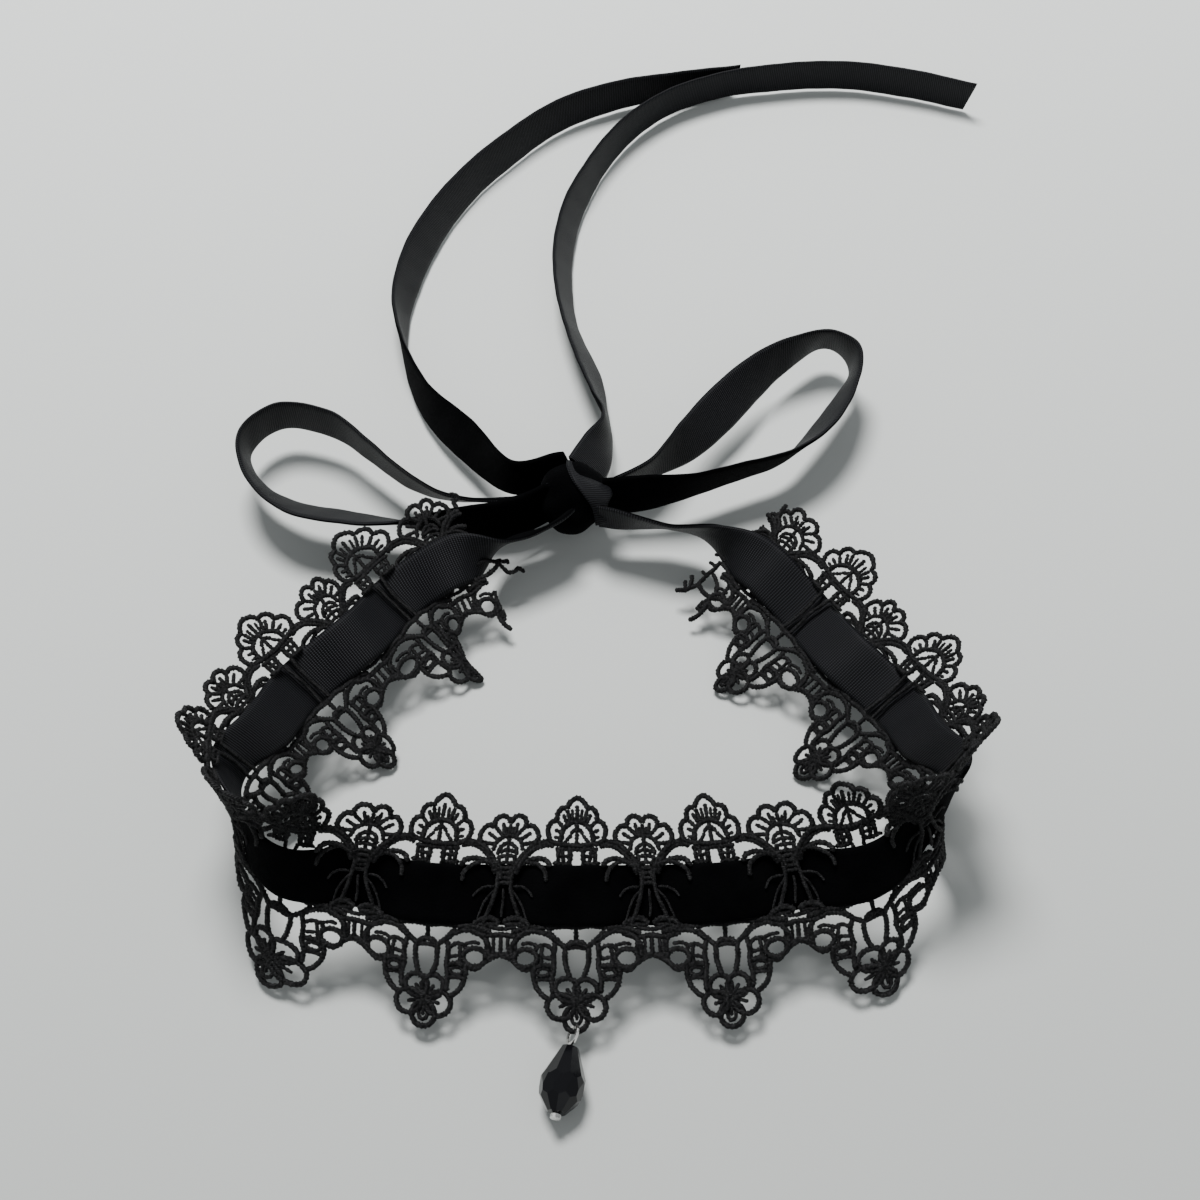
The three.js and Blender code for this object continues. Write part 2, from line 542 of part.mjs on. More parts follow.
// The drop hangs by its pin's ring on the front tip of the lace, with the bead's side on the surface
const ringMiddle = neckRoute.point(frontMiddle + RING_ASIDE, RING_SEAT - PIN_RING / 2 - LACE_DROP, 0);
const widest = LONG_FACETS[1].along * BEAD_LENGTH;
const reachToWidest = PIN_RING / 2 + PIN_WIRE / 2 + CLEARANCE + widest;
const dip = Math.asin((ringMiddle.z - BEAD_WIDTH / 2 - REST_GAP) / reachToWidest);
const drop = new THREE.Group();
drop.add(named('drop_bead', toGeometry(dropBead()), jet));
drop.add(named('head_pin', toGeometry(headPin()), silver));
for (const piece of drop.children) {
  piece.position.y = -(PIN_RING / 2 + PIN_WIRE / 2 + CLEARANCE + BEAD_LENGTH / 2);
}
drop.rotation.set(dip, 0, BEAD_SWING * TURNED, 'ZXY');
drop.position.copy(ringMiddle);
choker.add(drop);

// The origin goes to the middle of the underside
const box = new THREE.Box3().setFromObject(choker, true);
const middle = box.getCenter(new THREE.Vector3());
choker.position.set(-middle.x, -middle.y, -box.min.z);

export default choker;
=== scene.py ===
# A lace choker laid on a pale surface: the looks of the part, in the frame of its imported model.
# Worked out in millimetres, as the part is, and made in metres.

import math

import bmesh
import bpy
import numpy as np
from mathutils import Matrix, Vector


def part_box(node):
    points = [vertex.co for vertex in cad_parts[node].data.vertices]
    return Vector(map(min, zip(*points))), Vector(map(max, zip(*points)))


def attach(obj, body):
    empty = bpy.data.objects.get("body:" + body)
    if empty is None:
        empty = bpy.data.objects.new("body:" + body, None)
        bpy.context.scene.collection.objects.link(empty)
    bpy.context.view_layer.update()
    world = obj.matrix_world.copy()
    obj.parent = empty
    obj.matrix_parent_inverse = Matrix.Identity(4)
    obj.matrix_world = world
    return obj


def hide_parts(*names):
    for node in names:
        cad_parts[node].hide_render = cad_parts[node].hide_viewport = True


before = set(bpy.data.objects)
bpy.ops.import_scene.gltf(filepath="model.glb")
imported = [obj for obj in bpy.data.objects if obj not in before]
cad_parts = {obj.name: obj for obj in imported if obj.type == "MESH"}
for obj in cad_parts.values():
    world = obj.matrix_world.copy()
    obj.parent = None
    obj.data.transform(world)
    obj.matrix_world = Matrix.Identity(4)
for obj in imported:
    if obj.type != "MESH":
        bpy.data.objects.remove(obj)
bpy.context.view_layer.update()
MM = 0.001
TURNED = math.pi / 180
rng = np.random.default_rng(11)

# Sizes of the lace and the ribbon, as the part has them
REPEATS = 11
PITCH = 26.5
END_ALLOWANCE = 7.5
LACE_THICKNESS = 1.1
LACE_DROP = 25.0
COLUMN_WIDTH = 3.6
RIBBON_WIDTH = 10.5
RIBBON_THICKNESS = 1.0
PILE_WIDTH = 10.9         # ribbon with the pile that stands past its edges
LEFT_TIE = 22.0
RIGHT_TIE = 31.6
LEFT_LOOP_LENGTH = 160.0
RIGHT_LOOP_LENGTH = 153.0
LEFT_TAIL_LENGTH = 206.0
RIGHT_TAIL_LENGTH = 225.0
TAIL_CUT = 0.25
INTO_KNOT = -3            # where the left tail starts, before its route does
PEAK_CUT = 0.35           # slant of that start
CLEARANCE = 0.35
HALF_LACE = REPEATS * PITCH / 2 + END_ALLOWANCE
NECK_LENGTH = LEFT_TIE + 2 * HALF_LACE + RIGHT_TIE
FRONT_MIDDLE = LEFT_TIE + HALF_LACE

# Routes of the ribbon: x and y as shares of its length, height as a share of the lace's drop (the
# neck) or the ribbon's width, lean in degrees, curl in degrees for the lace's drop, draw in mm for
# each mm, and the degrees that the ribbon leans more than the lace.
NECK = [
    (-0.0205, 0.0392, 0.44, 57, 0, 0, -91),
    (-0.0273, 0.0322, 0.44, 57, 0, 0, -91),
    (-0.0556, 0.0176, 0.46, 57, 0, 0, -92),
    (-0.0839, 0.0010, 0.54, 57, 0, -0.05, -6),
    (-0.1103, -0.0176, 0.51, 59, 0, -0.1, 0),
    (-0.1308, -0.0478, 0.57, 57, 0, -0.05, 0),
    (-0.1572, -0.0791, 0.59, 55, 0, 0, 0),
    (-0.1777, -0.1152, 0.72, 46, 0, 0.05, 0),
    (-0.1884, -0.1533, 0.95, 24, 2.5, 0.1, 0),
    (-0.1835, -0.1884, 0.97, -4, 12.5, 0.15, 0),
    (-0.1572, -0.2060, 0.83, -30, 17.5, 0.2, 0),
    (-0.1220, -0.2099, 0.73, -46, 7.5, 0.2, 0),
    (-0.0849, -0.2128, 0.63, -58, 0, 0.12, 0),
    (-0.0127, -0.2157, 0.66, -61, 0, 0.02, 0),
    (0.0605, -0.2118, 0.60, -61, 0, -0.12, 0),
    (0.0966, -0.2079, 0.65, -54, 5, -0.18, 0),
    (0.1337, -0.2030, 0.71, -43, 10, -0.16, 0),
    (0.1669, -0.1874, 0.93, -18, 10, -0.1, 0),
    (0.1796, -0.1572, 0.99, 17, 2.5, 0, 0),
    (0.1728, -0.1240, 0.72, 43, 0, -0.05, 0),
    (0.1552, -0.0888, 0.55, 58, 0, 0, 0),
    (0.1328, -0.0566, 0.49, 62, 0, 0, 0),
    (0.1142, -0.0264, 0.46, 64, 0, 0.05, 0),
    (0.0918, 0.0010, 0.50, 58, 0, 0, -3),
    (0.0644, 0.0234, 0.48, 57, 0, -0.3, -70),
    (0.0400, 0.0293, 0.46, 57, 0, -0.3, -92),
    (0.0127, 0.0342, 0.46, 57, 0, 0, -75),
    (-0.0010, 0.0372, 0.46, 57, 0, 0, -71),
]
KNOT_AT = (-0.0137, 0.0552, 0.44)
LEFT_LOOP = [
    (-0.034, 0.012, 1.00, -18),
    (-0.095, -0.004, 0.96, -40),
    (-0.170, -0.004, 0.99, -34),
    (-0.238, 0.030, 0.98, -16),
    (-0.296, 0.084, 0.99, -8),
    (-0.355, 0.133, 1.00, -4),
    (-0.430, 0.146, 1.02, -7),
    (-0.473, 0.096, 1.03, 3),
    (-0.450, 0.026, 0.99, 27),
    (-0.393, -0.021, 1.00, 48),
    (-0.318, -0.040, 1.01, 51),
    (-0.245, -0.049, 1.01, 38),
    (-0.170, -0.053, 1.02, -4),
    (-0.098, -0.045, 1.03, -16),
    (-0.036, -0.012, 1.03, -10),
]
RIGHT_LOOP = [
    (0.036, -0.002, 1.00, -10),
    (0.095, 0.004, 1.00, -8),
    (0.168, 0.020, 1.00, 11),
    (0.238, 0.046, 1.00, 19),
    (0.308, 0.076, 0.99, 27),
    (0.358, 0.130, 1.00, 39),
    (0.395, 0.194, 1.02, 31),
    (0.416, 0.264, 1.04, 5),
    (0.380, 0.306, 1.01, -20),
    (0.313, 0.274, 0.98, 6),
    (0.257, 0.222, 0.99, 29),
    (0.208, 0.162, 0.99, 40),
    (0.159, 0.103, 0.99, 24),
    (0.103, 0.052, 0.97, -14),
    (0.046, 0.022, 0.92, -24),
]
LEFT_TAIL = [
    (-0.020, 0.033, 1.05, 8),
    (-0.068, 0.026, 0.97, 6),
    (-0.124, 0.091, 0.76, 26),
    (-0.170, 0.154, 0.57, 13),
    (-0.199, 0.227, 0.50, 0),
    (-0.210, 0.306, 0.48, -18),
    (-0.199, 0.385, 0.48, -25),
    (-0.173, 0.461, 0.48, -20),
    (-0.135, 0.531, 0.49, -13),
    (-0.086, 0.594, 0.50, -9),
    (-0.030, 0.651, 0.51, -3),
    (0.040, 0.690, 0.51, 4),
    (0.117, 0.713, 0.50, 11),
    (0.200, 0.729, 0.50, 14),
]
RIGHT_TAIL = [
    (0.007, 0.024, 1.12, -45),
    (0.019, 0.056, 0.97, -38),
    (0.029, 0.094, 0.80, -11),
    (0.021, 0.140, 0.64, -22),
    (0.010, 0.190, 0.54, -34),
    (-0.011, 0.263, 0.48, -25),
    (-0.019, 0.339, 0.48, -25),
    (-0.012, 0.415, 0.49, -20),
    (0.011, 0.487, 0.50, -10),
    (0.046, 0.555, 0.51, -2),
    (0.096, 0.611, 0.51, 7),
    (0.162, 0.647, 0.50, 11),
    (0.236, 0.663, 0.50, 9),
    (0.312, 0.667, 0.50, 9),
    (0.387, 0.652, 0.50, 8),
    (0.459, 0.627, 0.50, 9),
]


class Curve:
    """A centripetal smooth line through points, measured along its length."""

    def __init__(self, points, steps):
        points = np.asarray(points, float)
        self.count = len(points)
        ends = np.vstack([2 * points[0] - points[1], points, 2 * points[-1] - points[-2]])
        pieces = []
        for i in range(self.count - 1):
            a, b, c, d = ends[i:i + 4]
            gaps = [max(float(np.sum((p - q) ** 2)) ** 0.25, 1e-9) for p, q in ((a, b), (b, c), (c, d))]
            start = ((b - a) / gaps[0] - (c - a) / (gaps[0] + gaps[1]) + (c - b) / gaps[1]) * gaps[1]
            end = ((c - b) / gaps[1] - (d - b) / (gaps[1] + gaps[2]) + (d - c) / gaps[2]) * gaps[1]
            pieces.append((b, start, -3 * b + 3 * c - 2 * start - end, 2 * b - 2 * c + start + end))
        self.pieces = np.array(pieces)
        self.shares = np.linspace(0, 1, steps + 1)
        line = self.at(self.shares)
        self.lengths = np.r_[0, np.cumsum(np.linalg.norm(np.diff(line, axis=0), axis=1))]
        self.length = self.lengths[-1]

    def at(self, u):
        place = np.asarray(u, float) * (self.count - 1)
        i = np.clip(np.floor(place).astype(int), 0, self.count - 2)
        w = (place - i)[..., None]
        c = self.pieces[i]
        return c[..., 0, :] + c[..., 1, :] * w + c[..., 2, :] * w ** 2 + c[..., 3, :] * w ** 3

    def tangent(self, u):
        ahead = self.at(np.clip(u + 1e-4, 0, 1)) - self.at(np.clip(u - 1e-4, 0, 1))
        return ahead / np.linalg.norm(ahead, axis=-1, keepdims=True)

    def share_at(self, part):
        return np.interp(part * self.length, self.lengths, self.shares)


class Route:
    """A ribbon's route with a leaning section, as the part lays it."""

    def __init__(self, rows, plan, height, length, origin=(0, 0, 0)):
        rows = np.array(rows, float)
        self.length = length
        self.columns = rows[:, 3:]

        def curve(size):
            return Curve(rows[:, :3] * (size, size, height) + np.array(origin, float), 40 * len(rows))

        self.plan = plan * length / curve(plan).length
        self.curve = curve(self.plan)

    def column(self, which, u):
        if which >= self.columns.shape[1]:
            return np.zeros_like(u)
        values = self.columns[:, which]
        slopes = np.gradient(values)
        place = u * (len(values) - 1)
        i = np.clip(np.floor(place).astype(int), 0, len(values) - 2)
        w = np.clip(place - i, 0, 1)
        step = values[i + 1] - values[i]
        eased = values[i] + step * w * w * (3 - 2 * w)
        return eased + w * (1 - w) * ((1 - w) * slopes[i] - w * slopes[i + 1])

    def point(self, s, h, n=0.0):
        """Points s mm along, h mm up the section and n mm out from the right-hand face."""
        s, h, n = np.broadcast_arrays(*(np.asarray(v, float) for v in (s, h, n)))
        u = self.curve.share_at(np.clip(s / self.length, 0, 1))
        place = self.curve.at(u)
        level = self.curve.tangent(u) * (1, 1, 0)
        level /= np.linalg.norm(level, axis=-1, keepdims=True)
        outward = np.stack([level[..., 1], -level[..., 0], 0 * level[..., 0]], -1)
        up = np.array([0, 0, 1.0])
        lean = self.column(0, u) * TURNED
        curl = self.column(1, u) * TURNED / LACE_DROP
        half = curl * h / 2
        chord = h * np.sinc(half / np.pi)
        place = place + outward * (chord * np.sin(lean + half))[..., None]
        place = place + up * (chord * np.cos(lean + half))[..., None]
        place = place + outward * (n * np.cos(lean + curl * h))[..., None]
        place = place - up * (n * np.sin(lean + curl * h))[..., None]
        place = place + level * (self.column(2, u) * np.maximum(h, 0))[..., None]
        past = s - np.clip(s, 0, self.length)
        return place + level * past[..., None]


neck = Route(NECK, NECK_LENGTH, LACE_DROP, NECK_LENGTH)
twisted = Route([(*row[:3], row[3] + row[6], *row[4:]) for row in NECK], NECK_LENGTH, LACE_DROP, NECK_LENGTH)
knot_at = np.array([KNOT_AT[0] * neck.plan, KNOT_AT[1] * neck.plan, KNOT_AT[2] * LACE_DROP])
knot_foot = knot_at * (1, 1, 0)
left_loop = Route(LEFT_LOOP, LEFT_LOOP_LENGTH, RIBBON_WIDTH, LEFT_LOOP_LENGTH, knot_foot)
right_loop = Route(RIGHT_LOOP, RIGHT_LOOP_LENGTH, RIBBON_WIDTH, RIGHT_LOOP_LENGTH, knot_foot)
left_tail = Route(LEFT_TAIL, LEFT_TAIL_LENGTH, RIBBON_WIDTH, LEFT_TAIL_LENGTH, knot_foot)
right_tail = Route(RIGHT_TAIL, RIGHT_TAIL_LENGTH, RIBBON_WIDTH, RIGHT_TAIL_LENGTH, knot_foot)

# From the routes' own origin to the frame's: where the part's left loop lies in both
strip = [left_loop.point(np.linspace(0, left_loop.length, 41), h, n)
         for h in (-RIBBON_WIDTH / 2, RIBBON_WIDTH / 2)
         for n in (-RIBBON_THICKNESS / 2, RIBBON_THICKNESS / 2)]
SHIFT = np.array(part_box("bow_loop_left")[0]) / MM - np.min(np.vstack(strip), axis=0)


def to_frame(points):
    return (np.asarray(points) + SHIFT) * MM


def mesh_piece(name, verts, faces, uvs, materials, picks=None):
    """A mesh object from arrays: corners in millimetres, quads or triangles, a UV for each corner."""
    data = bpy.data.meshes.new(name)
    verts = to_frame(verts)
    faces = np.asarray(faces, np.int32)
    sides = faces.shape[1]
    data.vertices.add(len(verts))
    data.vertices.foreach_set("co", verts.astype(np.float32).ravel())
    data.loops.add(faces.size)
    data.loops.foreach_set("vertex_index", faces.ravel())
    data.polygons.add(len(faces))
    data.polygons.foreach_set("loop_start", np.arange(0, faces.size, sides, dtype=np.int32))
    data.polygons.foreach_set("loop_total", np.full(len(faces), sides, np.int32))
    for material in materials:
        data.materials.append(material)
    if picks is not None:
        data.polygons.foreach_set("material_index", np.asarray(picks, np.int32))
    data.polygons.foreach_set("use_smooth", np.full(len(faces), True))
    layer = data.uv_layers.new(name="cloth")
    layer.data.foreach_set("uv", np.asarray(uvs, np.float32)[faces.ravel()].ravel())
    data.update(calc_edges=True)
    data.validate()
    obj = bpy.data.objects.new(name, data)
    bpy.context.scene.collection.objects.link(obj)
    return obj


def smooth_line(points, step, closed=False):
    """A smooth flat line through a few points, in even steps."""
    points = np.asarray(points, float)
    if closed:
        points = np.vstack([points[-1:], points, points[:2]])
    elif len(points) == 2:
        count = max(int(np.hypot(*(points[1] - points[0])[:2]) / step), 2)
        return points[0] + (points[1] - points[0]) * np.linspace(0, 1, count + 1)[:, None]
    curve = Curve(points, 12 * len(points))
    first, last = 0, 1
    if closed:
        first, last = 1 / (curve.count - 1), 1 - 1 / (curve.count - 1)
    lengths = np.interp([first, last], curve.shares, curve.lengths)
    count = max(int((lengths[1] - lengths[0]) / step), 3)
    return curve.at(np.interp(np.linspace(lengths[0], lengths[1], count + 1), curve.lengths, curve.shares))


# Materials
def material(name, colour, roughness, **inputs):
    made = bpy.data.materials.new(name)
    made.use_nodes = True
    shader = made.node_tree.nodes["Principled BSDF"]
    shader.inputs["Base Color"].default_value = (*colour, 1)
    shader.inputs["Roughness"].default_value = roughness
    for key, value in inputs.items():
        shader.inputs[key.replace("_", " ")].default_value = value
    return made, made.node_tree, shader


def node(tree, kind, links=(), **values):
    made = tree.nodes.new(kind)
    for key, value in values.items():
        if key in made.inputs:
            made.inputs[key].default_value = value
        else:
            setattr(made, key, value)
    for socket, source in dict(links).items():
        tree.links.new(source, made.inputs[socket])
    return made


def ramp(tree, source, stops):
    made = tree.nodes.new("ShaderNodeValToRGB")
    elements = made.color_ramp.elements
    while len(elements) < len(stops):
        elements.new(0.5)
    for element, (place, colour) in zip(elements, stops):
        element.position = place
        element.color = (*colour, 1)
    tree.links.new(source, made.inputs["Fac"])
    return made.outputs["Color"]


def thread_material():
    """Matt embroidery cord: short stitches wrapped across it, greyer where the light rubs its crests."""
    made, tree, shader = material("lace_thread", (0.006, 0.006, 0.007), 0.6)
    shader.inputs["Sheen Weight"].default_value = 0.0
    shader.inputs["Specular IOR Level"].default_value = 0.2
    spot = node(tree, "ShaderNodeUVMap", uv_map="cloth").outputs["UV"]
    place = node(tree, "ShaderNodeTexCoord").outputs["Object"]
    tilt = node(tree, "ShaderNodeMapping", {"Vector": spot}, Rotation=(0, 0, 0.5)).outputs["Vector"]
    stitches = node(tree, "ShaderNodeTexWave", {"Vector": tilt}, Scale=0.9, Distortion=1.2)
    grain = node(tree, "ShaderNodeTexNoise", {"Vector": place}, Scale=2600.0, Detail=3.0)
    both = {0: stitches.outputs["Fac"], 1: grain.outputs["Fac"]}
    mixed = node(tree, "ShaderNodeMath", both, operation="ADD")
    bump = node(tree, "ShaderNodeBump", {"Height": mixed.outputs[0]}, Strength=0.7, Distance=0.00018)
    tree.links.new(bump.outputs["Normal"], shader.inputs["Normal"])
    tones = [(0.42, (0.0004, 0.0004, 0.0006)), (0.64, (0.018, 0.018, 0.019))]
    colour = ramp(tree, grain.outputs["Fac"], tones)
    tree.links.new(colour, shader.inputs["Base Color"])
    return made


def velvet_material():
    made, tree, shader = material("velvet_pile", (0.001, 0.001, 0.0012), 0.95)
    shader.inputs["Sheen Weight"].default_value = 0.02
    shader.inputs["Sheen Roughness"].default_value = 0.35
    shader.inputs["Sheen Tint"].default_value = (0.5, 0.52, 0.56, 1)
    shader.inputs["Specular IOR Level"].default_value = 0.03
    place = node(tree, "ShaderNodeTexCoord").outputs["Object"]
    pile = node(tree, "ShaderNodeTexNoise", {"Vector": place}, Scale=1900.0, Detail=4.0, Roughness=0.7)
    brushed = node(tree, "ShaderNodeTexNoise", {"Vector": place}, Scale=160.0, Detail=2.0)
    tones = [(0.3, (0.0006, 0.0006, 0.0008)), (0.75, (0.0018, 0.0019, 0.0022))]
    colour = ramp(tree, brushed.outputs["Fac"], tones)
    tree.links.new(colour, shader.inputs["Base Color"])
    bump = node(tree, "ShaderNodeBump", {"Height": pile.outputs["Fac"]}, Strength=0.9, Distance=0.0003)
    tree.links.new(bump.outputs["Normal"], shader.inputs["Normal"])
    return made


def rib_material():
    """The ribbon's ribbed back: fine ribs across it, dark blue-grey, with a soft shine, and painted shade in
    the grooves between the ribs with painted highlight on their crests.
    """
    made, tree, shader = material("ribbon_back", (0.008, 0.009, 0.011), 0.5)
    shader.inputs["Sheen Weight"].default_value = 0.0
    shader.inputs["Specular IOR Level"].default_value = 0.12
    spot = node(tree, "ShaderNodeUVMap", uv_map="cloth").outputs["UV"]
    ribs = node(tree, "ShaderNodeTexWave", {"Vector": spot}, Scale=0.62, Distortion=0.25, bands_direction="X")
    across = node(tree, "ShaderNodeTexWave", {"Vector": spot}, Scale=0.75, Distortion=0.6,
                  bands_direction="Y")
    both = {0: ribs.outputs["Fac"], 1: across.outputs["Fac"]}
    weave_height = node(tree, "ShaderNodeMath", both, operation="MULTIPLY")
    # Painted shade and painted highlight: the colour follows the ribs, near black in their grooves and grey
    # on their crests.
    tones = [(0.25, (0.0006, 0.0006, 0.0008)), (0.9, (0.0165, 0.0172, 0.0205))]
    colour = ramp(tree, ribs.outputs["Fac"], tones)
    tree.links.new(colour, shader.inputs["Base Color"])
    bump = node(tree, "ShaderNodeBump", {"Height": weave_height.outputs[0]}, Strength=0.8, Distance=0.00016)
    tree.links.new(bump.outputs["Normal"], shader.inputs["Normal"])
    return made


def bead_material():
    made, tree, shader = material("jet_bead", (0.0035, 0.0035, 0.0045), 0.05)
    shader.inputs["Specular IOR Level"].default_value = 0.3
    place = node(tree, "ShaderNodeTexCoord").outputs["Object"]
    wear = node(tree, "ShaderNodeTexNoise", {"Vector": place}, Scale=900.0, Detail=3.0)
    gloss = {"To Min": 0.03, "To Max": 0.12}
    rough = node(tree, "ShaderNodeMapRange", {"Value": wear.outputs["Fac"]}, **gloss)
    tree.links.new(rough.outputs["Result"], shader.inputs["Roughness"])
    return made


def pin_material():
    made, tree, shader = material("silver_pin", (0.80, 0.79, 0.76), 0.2, Metallic=1.0)
    place = node(tree, "ShaderNodeTexCoord").outputs["Object"]
    wear = node(tree, "ShaderNodeTexNoise", {"Vector": place}, Scale=1400.0, Detail=3.0)
    gloss = {"To Min": 0.12, "To Max": 0.3}
    rough = node(tree, "ShaderNodeMapRange", {"Value": wear.outputs["Fac"]}, **gloss)
    tree.links.new(rough.outputs["Result"], shader.inputs["Roughness"])
    colour = ramp(tree, wear.outputs["Fac"], [(0.2, (0.62, 0.61, 0.58)), (0.6, (0.86, 0.85, 0.83))])
    tree.links.new(colour, shader.inputs["Base Color"])
    return made


thread_look = thread_material()
velvet_look = velvet_material()
rib_look = rib_material()
bead_look = bead_material()
pin_look = pin_material()


# Ribbon
def weave(s):
    """How far the woven ribbon's middle lies out from the lace's, as in the part."""
    swing = 1.2 * ((LACE_THICKNESS + RIBBON_THICKNESS) / 2 + CLEARANCE)
    repeats = (np.asarray(s, float) - FRONT_MIDDLE) / PITCH
    past = np.abs(repeats) - REPEATS / 2 - COLUMN_WIDTH / 2 / PITCH
    fade = np.clip(past / 0.6, 0, 1)
    fade = fade * fade * (3 - 2 * fade)
    return np.where(past > 0, -swing * (1 - fade), swing * np.cos(2 * np.pi * repeats))


ACROSS = 16               # faces across each side of a ribbon
RIPPLE = 0.03             # height of the small waves in a ribbon
SWAY = 0.04               # height of the long ones
RIBBON_DROP = -0.6        # how far the ribbon lies below the middle of its row of gaps


def along_lace(s):
    """1 where the ribbon runs through the lace, fading to 0 past its ends."""
    past = np.abs((np.asarray(s, float) - FRONT_MIDDLE) / PITCH) - REPEATS / 2
    return np.clip(0.5 - past, 0, 1)


def ribbon(name, route, start, end, offset=lambda s: 0 * s, cut=0.0, cut_start=0.0,
           step=0.7, width=RIBBON_WIDTH, thick=RIBBON_THICKNESS, turned=False, lower=0.0):
    """A closed strip of ribbon: velvet on the right-hand side of its way, ribs on the other. turned:
    the other way round."""
    count = int(abs(end - start) / step)
    along = np.linspace(start, end, count + 1)
    edges = np.linspace(-1, 1, ACROSS + 1)
    body = np.sqrt(np.clip(1 - np.abs(edges) ** 10, 0, 1)) * thick / 2
    heights = np.r_[edges, edges[-2:0:-1]] * width / 2
    outs = np.r_[body, -body[-2:0:-1]]
    waves = np.sin(along[:, None] * 0.9 + heights * 0.35) * RIPPLE
    waves = waves + np.sin(along[:, None] * 0.37 + 1.3) * SWAY
    s = along[:, None] + np.zeros(len(heights))
    ease = np.clip((s - start) / (end - start), 0, 1)
    s = s + cut * heights * np.clip(ease * 12 - 11, 0, 1) + cut_start * heights * np.clip(1 - ease * 12, 0, 1)
    h = np.broadcast_to(heights, s.shape)
    verts = route.point(s, h + lower * along_lace(s), offset(s) + outs + waves).reshape(-1, 3)
    ring = len(heights)
    grid = np.arange(len(along) * ring).reshape(len(along), ring)
    a, b = grid[:-1], grid[1:]
    quads = np.stack([a, np.roll(a, -1, 1), np.roll(b, -1, 1), b], -1).reshape(-1, 4)
    across = np.arange(ring)
    picks = np.tile(np.where((across < ACROSS) != turned, 0, 1), len(along) - 1)
    uvs = np.stack([s.ravel(), h.ravel()], -1)
    verts = np.vstack([verts, verts[grid[0]].mean(0), verts[grid[-1]].mean(0)])
    uvs = np.vstack([uvs, [start, 0], [end, 0]])
    n = len(along) * ring
    first = np.stack([np.full(ring, n), np.roll(grid[0], -1), grid[0], grid[0]], -1)
    last = np.stack([np.full(ring, n + 1), grid[-1], np.roll(grid[-1], -1), np.roll(grid[-1], -1)], -1)
    obj = mesh_piece(name, verts, quads, uvs, [velvet_look, rib_look], picks)
    cap = bmesh.new()
    cap.from_mesh(obj.data)
    cap.verts.ensure_lookup_table()
    layer = cap.loops.layers.uv.active
    for rim in (first, last):
        for corner in rim:
            if int(corner[0]) >= len(cap.verts):
                continue
            face = cap.faces.new([cap.verts[int(v)] for v in corner[:3]])
            for loop in face.loops:
                loop[layer].uv = uvs[loop.vert.index]
    cap.to_mesh(obj.data)
    cap.free()
    return obj


def declare(piece, nodes):
    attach(piece, "root")
    if nodes:
        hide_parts(*nodes)


neck_ribbon = ribbon("neck_ribbon_velvet", twisted, 0, NECK_LENGTH, offset=weave, width=PILE_WIDTH,
                     lower=RIBBON_DROP)
declare(neck_ribbon, ["neck_ribbon"])
loops = [ribbon("bow_loop_velvet_left", left_loop, 0, LEFT_LOOP_LENGTH),
         ribbon("bow_loop_velvet_right", right_loop, 0, RIGHT_LOOP_LENGTH)]
for loop_piece, side, length in zip(loops, ("left", "right"), (LEFT_LOOP_LENGTH, RIGHT_LOOP_LENGTH)):
    declare(loop_piece, ["bow_loop_" + side])
tails = [ribbon("tail_velvet_left", left_tail, INTO_KNOT, LEFT_TAIL_LENGTH, cut=TAIL_CUT, cut_start=PEAK_CUT,
                turned=True),
         ribbon("tail_velvet_right", right_tail, 0, RIGHT_TAIL_LENGTH, cut=TAIL_CUT, turned=True)]
for tail_piece, side, length in zip(tails, ("left", "right"), (LEFT_TAIL_LENGTH, RIGHT_TAIL_LENGTH)):
    declare(tail_piece, ["tail_" + side])
for carried, look in (("drop_bead", bead_look), ("head_pin", pin_look)):
    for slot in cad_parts[carried].material_slots:
        slot.material = look


# Knot: a folded lump of velvet, and the turn of ribbon that the right tail makes over it. Places here
# are millimetres from the knot's middle: to the right, up the picture, and out towards the viewer.
KNOT_AXES = np.array([(1, 0, 0), (0, 0.809, 0.588), (0, -0.588, 0.809)])
TURN_LEFT = [
    (-2.3, 7.2, 0.6),
    (-2.2, 5.6, 3.9),
    (-1.0, 2.6, 6.2),
    (1.2, -0.6, 6.9),
    (3.1, -3.2, 6.0),
    (3.9, -6.2, 4.2),
    (4.0, -8.6, 0.4),
]
TURN_RIGHT = [
    (5.2, 2.9, -5.2),
    (6.3, 2.4, -2.0),
    (7.2, 1.4, 1.2),
    (7.6, -0.4, 3.4),
    (6.6, -2.4, 4.6),
    (6.2, -5.4, 3.6),
    (6.4, -8.0, 0.2),
]


def from_knot(places):
    return knot_at + np.asarray(places, float) @ KNOT_AXES


class Turn:
    """A strip of ribbon between two edges, bulging a little between them."""

    def __init__(self, left, right, crown):
        self.left = Curve(from_knot(left), 40 * len(left))
        self.right = Curve(from_knot(right), 40 * len(right))
        self.crown = crown
        self.length = (self.left.length + self.right.length) / 2

    def face(self, share, part):
        a = self.left.at(self.left.share_at(share))
        b = self.right.at(self.right.share_at(share))
        bulge = KNOT_AXES[2] * (self.crown * 4 * part * (1 - part))[..., None]
        return a * (1 - part)[..., None] + b * part[..., None] + bulge

    def point(self, s, h, n=0.0):
        s, h, n = np.broadcast_arrays(*(np.asarray(v, float) for v in (s, h, n)))
        share = np.clip(s / self.length, 0.001, 0.999)
        part = np.clip(0.5 - h / RIBBON_WIDTH, 0, 1)
        along = self.face(share + 0.001, part) - self.face(share - 0.001, part)
        across = self.face(share, part + 0.01) - self.face(share, part - 0.01)
        normal = np.cross(along, across)
        normal /= np.linalg.norm(normal, axis=-1, keepdims=True)
        return self.face(share, part) + normal * n[..., None]


